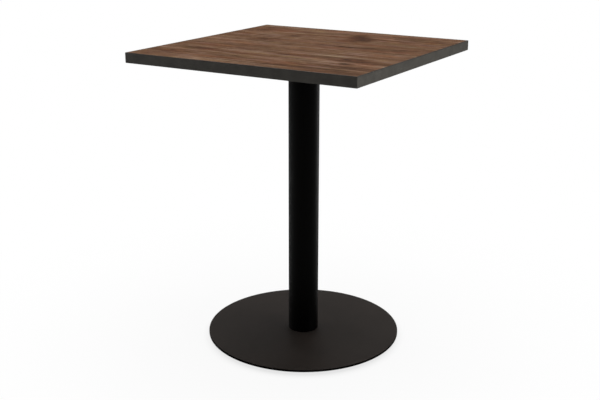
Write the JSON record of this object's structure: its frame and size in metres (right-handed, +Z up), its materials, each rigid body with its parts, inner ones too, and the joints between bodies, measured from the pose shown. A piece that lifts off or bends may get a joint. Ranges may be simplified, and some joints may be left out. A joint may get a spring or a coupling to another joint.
{
  "type": "bistro table",
  "caption": "Square wood-decor table top with dark plastic edges on a round steel column and a flat steel disc base with screw-out levelling feet.",
  "frame": {"origin": "on the floor at the centre of the column, with the levelling feet screwed fully in", "axes": "+Z up; +X along the wood grain of the top and along its front edge; -Y is the front"},
  "size_m": [0.6, 0.6, 0.75],
  "materials": {
    "wood_decor": "matt laminate with a rustic dark oak decor, grain along X",
    "chipboard": "raw chipboard",
    "backing": "black backing laminate",
    "edge_band": "dark grey fine-grained plastic",
    "powder_coat": "matt black powder coat with a fine texture",
    "zinc_screw": "bright zinc plate",
    "bare_steel": "turned steel",
    "foot_nylon": "black moulded nylon",
    "foot_nut": "turned brass",
    "foot_pad": "dark grey rubber"
  },
  "bodies": {
    "root": {"wood_laminate": "wood_decor", "top_core_board": "chipboard", "backing_laminate": "backing", "edge_band_front": "edge_band", "edge_band_back": "edge_band", "edge_band_left": "edge_band", "edge_band_right": "edge_band", "mounting_plate": "powder_coat", "plate_screws": "zinc_screw", "plate_weld_bead": "powder_coat", "column_tube": "powder_coat", "column_foot_plug": "bare_steel", "foot_plug_weld": "bare_steel", "base_disc": "powder_coat", "base_screws": "zinc_screw", "leveller_studs": "zinc_screw"},
    "leveller_pad_front_left": {"leveller_pad_front_left": "foot_pad"},
    "leveller_foot_front_left": {"leveller_body_front_left": "foot_nylon", "leveller_insert_front_left": "foot_nut"},
    "leveller_pad_front_right": {"leveller_pad_front_right": "foot_pad"},
    "leveller_foot_front_right": {"leveller_body_front_right": "foot_nylon", "leveller_insert_front_right": "foot_nut"},
    "leveller_pad_back_right": {"leveller_pad_back_right": "foot_pad"},
    "leveller_foot_back_right": {"leveller_body_back_right": "foot_nylon", "leveller_insert_back_right": "foot_nut"},
    "leveller_pad_back_left": {"leveller_pad_back_left": "foot_pad"},
    "leveller_foot_back_left": {"leveller_body_back_left": "foot_nylon", "leveller_insert_back_left": "foot_nut"}
  },
  "joints": [
    {"name": "leveller_lift_front_left", "type": "slide", "parent": "root", "child": "leveller_pad_front_left", "axis": [0, 0, -1], "range_m": [0, 0.0025]},
    {"name": "leveller_turn_front_left", "type": "hinge", "parent": "leveller_pad_front_left", "child": "leveller_foot_front_left", "pos_m": [-0.14142, -0.14142, 0.005], "axis": [0, 0, -1], "range_deg": [0, 720]},
    {"name": "leveller_lift_front_right", "type": "slide", "parent": "root", "child": "leveller_pad_front_right", "axis": [0, 0, -1], "range_m": [0, 0.0025]},
    {"name": "leveller_turn_front_right", "type": "hinge", "parent": "leveller_pad_front_right", "child": "leveller_foot_front_right", "pos_m": [0.14142, -0.14142, 0.005], "axis": [0, 0, -1], "range_deg": [0, 720]},
    {"name": "leveller_lift_back_right", "type": "slide", "parent": "root", "child": "leveller_pad_back_right", "axis": [0, 0, -1], "range_m": [0, 0.0025]},
    {"name": "leveller_turn_back_right", "type": "hinge", "parent": "leveller_pad_back_right", "child": "leveller_foot_back_right", "pos_m": [0.14142, 0.14142, 0.005], "axis": [0, 0, -1], "range_deg": [0, 720]},
    {"name": "leveller_lift_back_left", "type": "slide", "parent": "root", "child": "leveller_pad_back_left", "axis": [0, 0, -1], "range_m": [0, 0.0025]},
    {"name": "leveller_turn_back_left", "type": "hinge", "parent": "leveller_pad_back_left", "child": "leveller_foot_back_left", "pos_m": [-0.14142, 0.14142, 0.005], "axis": [0, 0, -1], "range_deg": [0, 720]}
  ],
  "couplings": [
    {"joint": "leveller_turn_front_left", "follows": "leveller_lift_front_left", "rad_per_m": 5026.5},
    {"joint": "leveller_turn_front_right", "follows": "leveller_lift_front_right", "rad_per_m": 5026.5},
    {"joint": "leveller_turn_back_right", "follows": "leveller_lift_back_right", "rad_per_m": 5026.5},
    {"joint": "leveller_turn_back_left", "follows": "leveller_lift_back_left", "rad_per_m": 5026.5}
  ]
}
